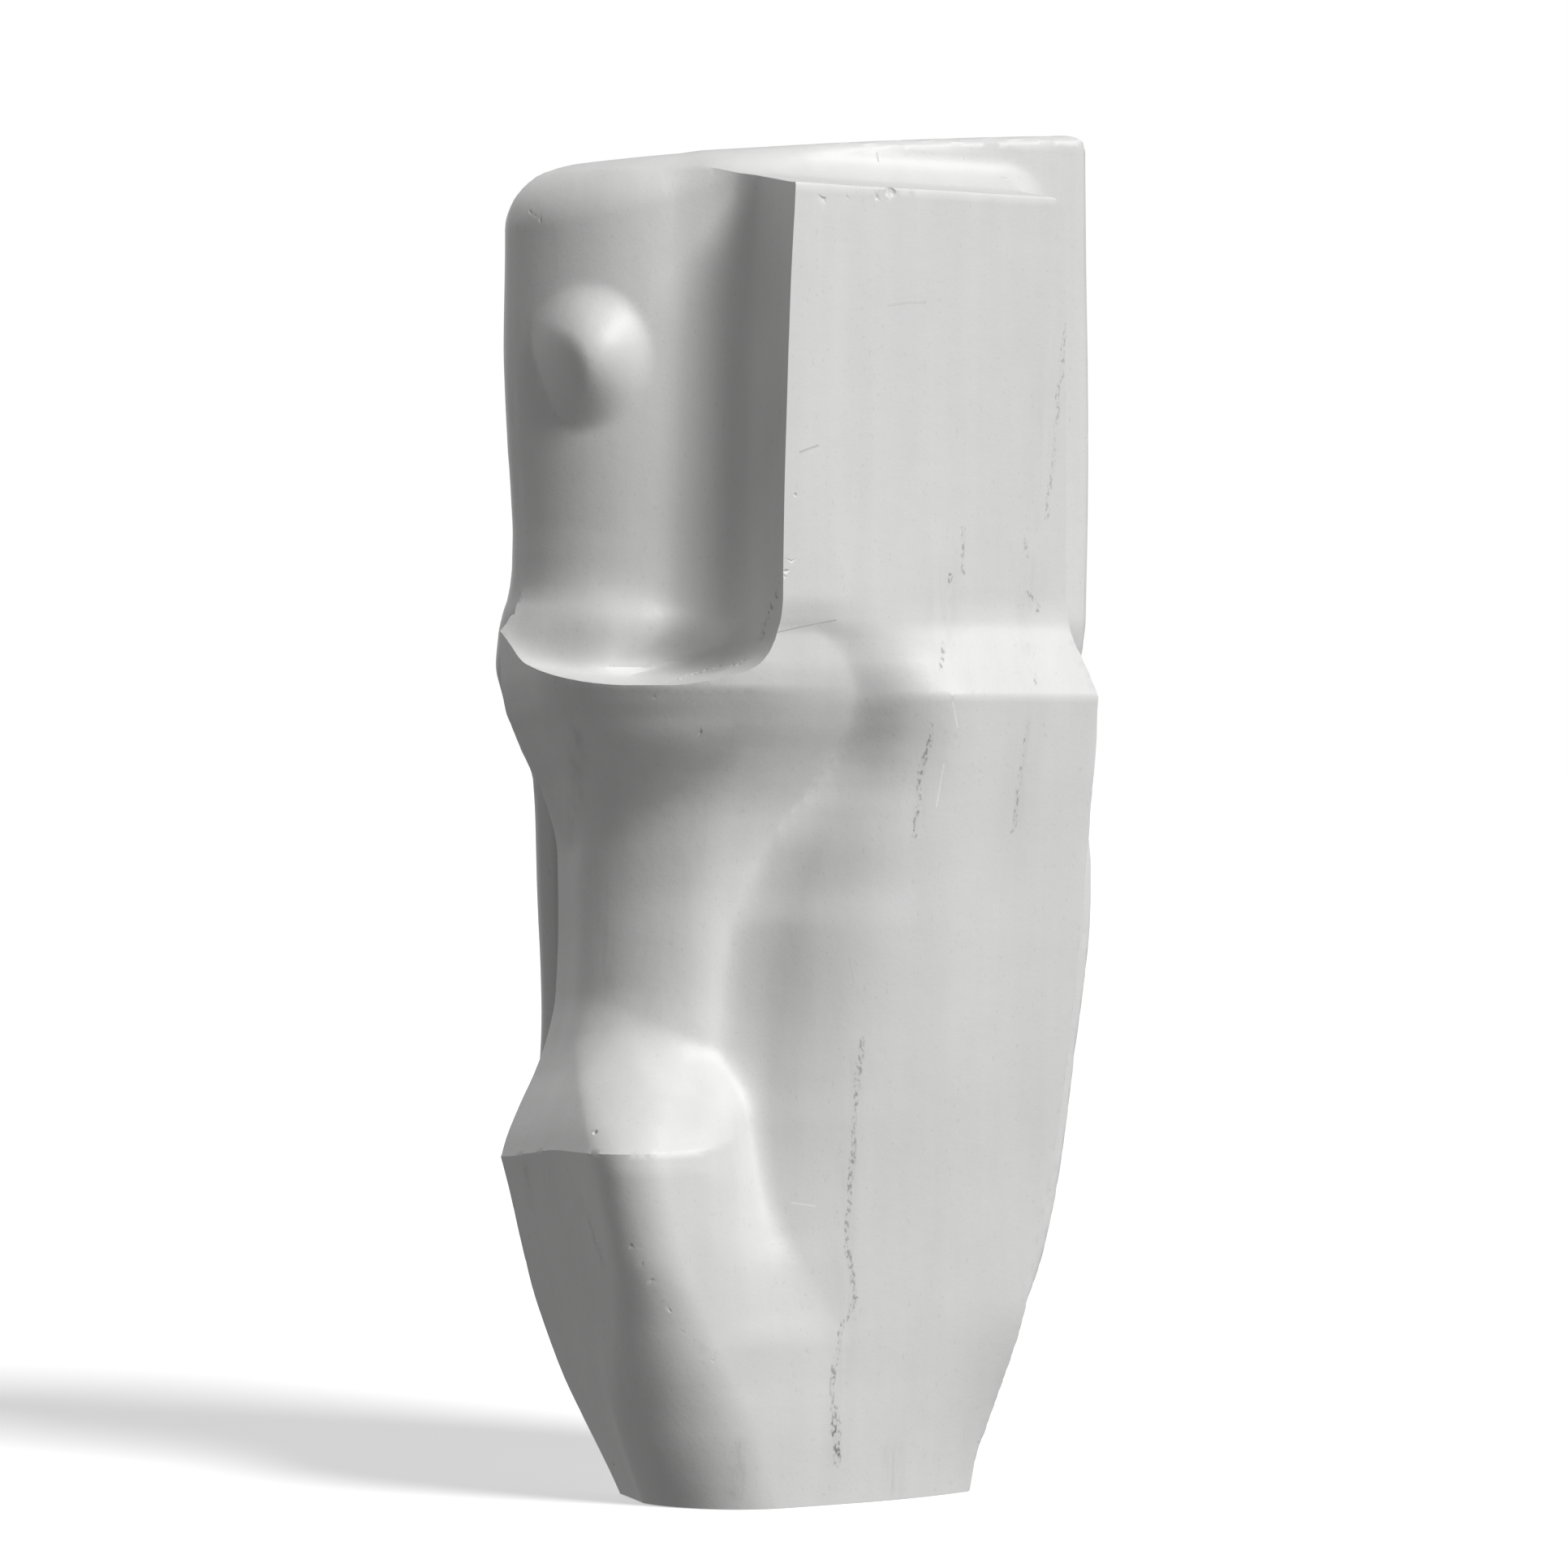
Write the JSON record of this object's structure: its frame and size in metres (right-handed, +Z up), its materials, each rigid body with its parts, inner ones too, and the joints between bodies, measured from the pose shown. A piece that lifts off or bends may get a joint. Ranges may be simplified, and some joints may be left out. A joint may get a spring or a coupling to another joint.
{
  "type": "female torso sculpture",
  "caption": "Half abstract female torso carved from one tapering block of white marble, with a scooped niche, a back slab and a flat cut base",
  "frame": {"origin": "centre of the plan box at the height of the flat underside", "axes": "+Z up, -Y out of the flat front face of the upper block, +X to the right along that face"},
  "size_m": [0.3091, 0.1693, 0.6999],
  "materials": {
    "marble": "honed"
  },
  "bodies": {
    "root": {"torso": "marble"}
  },
  "joints": []
}
